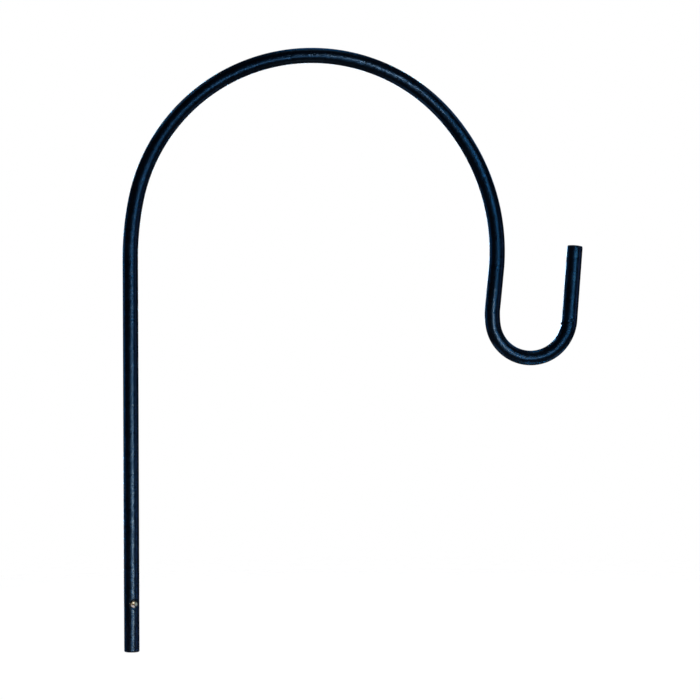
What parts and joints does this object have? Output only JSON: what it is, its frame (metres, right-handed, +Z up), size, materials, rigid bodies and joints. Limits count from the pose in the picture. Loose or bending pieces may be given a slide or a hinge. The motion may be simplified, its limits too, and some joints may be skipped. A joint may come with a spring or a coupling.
{
  "type": "shepherds hook",
  "caption": "Arched shepherd's hook top in bent black tube, with an upturned hook to hang a basket or lantern from and a spigot that a sprung brass snap button locks into a pole.",
  "frame": {"origin": "on the leg's axis, at the lower edge of the spigot's straight wall; the rolled end of the tube lies 1.7 mm below it", "axes": "+Z up along the leg, the hook's plane is XZ with the arch reaching towards +X, and the snap button faces -Y, turned 19 degrees towards +X"},
  "size_m": [0.4713, 0.0187, 0.6181],
  "materials": {
    "powder_coat": "satin blue-black powder coat on steel tube, fine orange peel",
    "brass": "pale brass, tumbled and slightly tarnished",
    "spring_steel": "bright spring strip",
    "black_plastic": "black moulded plug, satin"
  },
  "bodies": {
    "hook": {"hook_tube": "powder_coat", "spring_clip": "spring_steel", "tip_plug": "black_plastic"},
    "button": {"lock_button": "brass"}
  },
  "joints": [
    {"name": "button_press", "type": "slide", "parent": "hook", "child": "button", "axis": [-0.3256, 0.9455, 0], "range_m": [0, 0.0036], "stiffness_N_per_m": 2000, "springref_m": -0.004, "deforming": ["spring_clip"]}
  ]
}
